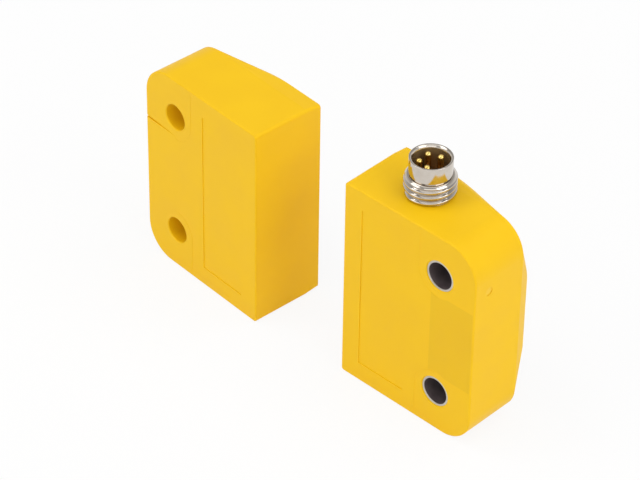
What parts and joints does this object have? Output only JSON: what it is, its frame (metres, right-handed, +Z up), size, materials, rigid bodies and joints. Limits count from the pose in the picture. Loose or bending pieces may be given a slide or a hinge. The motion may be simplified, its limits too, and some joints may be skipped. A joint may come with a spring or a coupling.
{
  "type": "magnetic safety switch",
  "caption": "Coded magnetic safety switch: yellow block-shaped sensor with a round plug on top, and a matching separate actuator, for guarding doors and hatches of machines.",
  "frame": {"origin": "middle of the overall box, on the plane both halves stand on", "axes": "+X from the actuator to the sensor, -Y out of the front faces, +Z up along the plug's axis"},
  "size_m": [0.069, 0.0149, 0.0423],
  "materials": {
    "yellow_housing": "smooth moulded, slightly satin",
    "steel_bush": "turned",
    "nickel_shell": "nickel plated, bright",
    "seal_rubber": "matt",
    "black_insulator": "moulded",
    "gold_pin": "gold plated",
    "board_laminate": "glass laminate with solder resist",
    "reed_glass": "clear",
    "lead_wire": "tinned",
    "resistor_body": "moulded",
    "casting_resin": "cast, slightly glossy",
    "magnet": "nickel plated"
  },
  "bodies": {
    "root": {"sensor_housing": "yellow_housing", "lower_mounting_bush": "steel_bush", "upper_mounting_bush": "steel_bush", "connector_shell": "nickel_shell", "connector_seal_ring": "seal_rubber", "contact_carrier": "black_insulator", "contact_pin_1": "gold_pin", "contact_pin_2": "gold_pin", "contact_pin_3": "gold_pin", "contact_pin_4": "gold_pin", "circuit_board": "board_laminate", "lower_reed_tube": "reed_glass", "upper_reed_tube": "reed_glass", "lower_reed_leads": "lead_wire", "upper_reed_leads": "lead_wire", "series_resistors": "resistor_body", "sensor_resin_fill": "casting_resin", "actuator_housing": "yellow_housing", "upper_coding_magnet": "magnet", "lower_coding_magnet": "magnet", "magnet_carrier": "black_insulator", "actuator_resin_fill": "casting_resin"}
  },
  "joints": []
}
